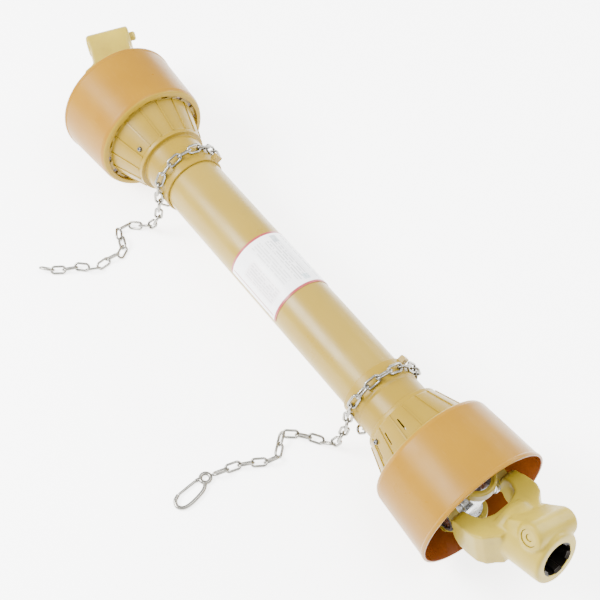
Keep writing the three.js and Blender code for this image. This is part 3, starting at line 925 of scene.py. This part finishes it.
def make_cross_kit(end):
    arm = [(-19.6, 0), (-19.6, 11.5, 1), (19.6, 11.5, 1), (19.6, 0)]
    trunnion = [(-33.9, 0), (-33.9, 8, 0.8), (33.9, 8, 0.8), (33.9, 0)]
    nipple_boss = [(8, 0), (8, 4.6), (20, 4.6, 0.5), (20, 0)]
    body = lathe(f"spider_{end}", arm, 64, ALONG_Y, closed=False)
    tools = [lathe("arm", arm, 64, ALONG_Z, closed=False)]
    tools += [lathe("trunnion", trunnion, 64, m, closed=False) for m in (ALONG_Y, ALONG_Z)]
    tools.append(lathe("seat", nipple_boss, 48, turn_x(-45) @ ALONG_Z, closed=False))
    boolean(body, tools, "UNION")
    cast(body, 0.7, 6)
    body.data.transform(cross_matrix(end))
    piece(body, f"cross_{end}", "steel", f"cross_{end}")
    nipple = lathe(f"nipple_{end}", [
        (20.35, 0), (20.35, 3.4, 0.3), (22.4, 3.4, 0.3), (22.9, 2.1, 0.2),
        (24.4, 2.0, 0.2), (25.2, 2.8, 0.6), (27.2, 1.6, 0.5), (27.2, 0),
    ], 48, cross_matrix(end) @ turn_x(-45) @ ALONG_Z, closed=False)
    piece(nipple, f"cross_{end}", "steel", f"grease_nipple_{end}")
    for mark, quarter, holder, body_name in (
        ("a", 0, yoke_matrix(end), f"end_yoke_{end}"), ("b", 180, yoke_matrix(end), f"end_yoke_{end}"),
        ("c", 0, tube_yoke_matrix(end), ENDS[end]["drive"]),
        ("d", 180, tube_yoke_matrix(end), ENDS[end]["drive"]),
    ):
        seat = holder @ turn_x(quarter)
        cup = lathe(f"cup_{end}_{mark}", [
            (20, 8.35, 0.3), (20, 11.6, 0.6), (21.4, 11.8, 0.2), (21.4, 13.5, 0.4),
            (37.3, 13.5, 1.0), (37.3, 10.2, 0.3), (36.9, 9.6, 0.3),
            (36.9, 2.2, 0.4), (36.4, 0), (34.3, 0), (34.3, 8.35, 0.3),
        ], 96, seat @ ALONG_Y)
        piece(cup, body_name, "steel", f"bearing_cup_{end}_{mark}")
        gap = math.radians(24)
        open_arc = [gap + (2 * math.pi - 2 * gap) * k / 60 for k in range(61)]
        arc = [(CUP_R * math.cos(a), CUP_R * math.sin(a)) for a in open_arc]
        lug = []
        for k in range(61):
            a = 2 * math.pi - gap - (2 * math.pi - 2 * gap) * k / 60
            reach = 10.5 - 1.6 * (abs(k - 30) > 26)
            lug.append((reach * math.cos(a), reach * math.sin(a)))
        low, high = CROSS_HALF + 0.35, CROSS_HALF + 1.55
        ring = slab(f"clip_{end}_{mark}", arc + lug, low, high, "yz", seat @ ALONG_Y)
        piece(ring, body_name, "dark", f"snap_ring_{end}_{mark}")


def make_push_pin(end):
    at = lobe_matrix(end) @ on_pin(ENDS[end]["side"])
    pin = lathe(f"plunger_{end}", [
        (-25, 0), (-25, 3.4, 0.5), (-13, 3.4, 0.2), (-13, 8.2, 0.4), (-9.6, 8.2, 0.4),
        (-9.6, PIN_R, 0.2), (3.6, PIN_R, 0.3),
        (4.7, 4.2, 0.8), (8.9, 4.2, 0.8), (10, PIN_R, 0.3), (32.4, PIN_R, 2.2), (34, 3.8, 1.6), (34, 0),
    ], 96, at, closed=False)
    piece(pin, f"push_pin_{end}", "knob", f"push_pin_{end}", slot="steel")
    washer = [(-26, 3.75, 0.2), (-26, 8.3, 0.4), (-24, 8.3, 0.2), (-24, 3.75, 0.2)]
    cap = lathe(f"pocket_ring_{end}", washer, 64, at)
    piece(cap, f"end_yoke_{end}", "knob", f"pin_cap_{end}", slot="dark")


for end in ENDS:
    make_end_yoke(end)
    make_tube_yoke(end)
    make_cross_kit(end)
    make_push_pin(end)

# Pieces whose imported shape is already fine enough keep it, with a full material
KEPT_SHAPES = {"roll_pin": "dark", "pin_spring": "dark", "drive_tube": "dark"}
for name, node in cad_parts.items():
    for start, material in KEPT_SHAPES.items():
        if name.startswith(start):
            node.data.materials.clear()
            node.data.materials.append(MATERIALS[material])


# ---------------------------------------------------------------- stage and light
def area(name, place, aim, size, power, colour=(1, 1, 1)):
    data = bpy.data.lights.new(name, "AREA")
    data.shape = "RECTANGLE"
    data.size, data.size_y = size
    data.energy = power
    data.color = colour
    lamp = bpy.data.objects.new(name, data)
    lamp.location = place
    lamp.rotation_euler = (Vector(aim) - Vector(place)).to_track_quat("-Z", "Y").to_euler()
    bpy.context.scene.collection.objects.link(lamp)


def make_stage():
    bm = bmesh.new()
    bmesh.ops.create_grid(bm, x_segments=1, y_segments=1, size=6)
    floor = finish_mesh("floor", bm, Matrix.Translation((0, 0, -0.0002)))
    material = bpy.data.materials.new("floor_white")
    material.use_nodes = True
    shader = material.node_tree.nodes["Principled BSDF"]
    shader.inputs["Base Color"].default_value = (0.92, 0.92, 0.92, 1)
    shader.inputs["Roughness"].default_value = 0.95
    shader.inputs["Specular IOR Level"].default_value = 0.0
    shader.inputs["Emission Color"].default_value = (1, 1, 1, 1)
    shader.inputs["Emission Strength"].default_value = 3.6
    floor.data.materials.append(material)
    world = bpy.data.worlds.new("studio")
    world.use_nodes = True
    world.node_tree.nodes["Background"].inputs[0].default_value = (1, 1, 1, 1)
    world.node_tree.nodes["Background"].inputs[1].default_value = 1.5
    bpy.context.scene.world = world
    area("key", (-0.75, -1.15, 1.35), (-0.05, 0, 0.05), (1.0, 0.8), 110)
    area("top", (0.5, 0.5, 2.0), (0, 0, 0.05), (1.6, 1.0), 44)
    area("rim", (0.3, 1.5, 0.8), (0, 0, 0.08), (1.4, 0.4), 30)


make_stage()
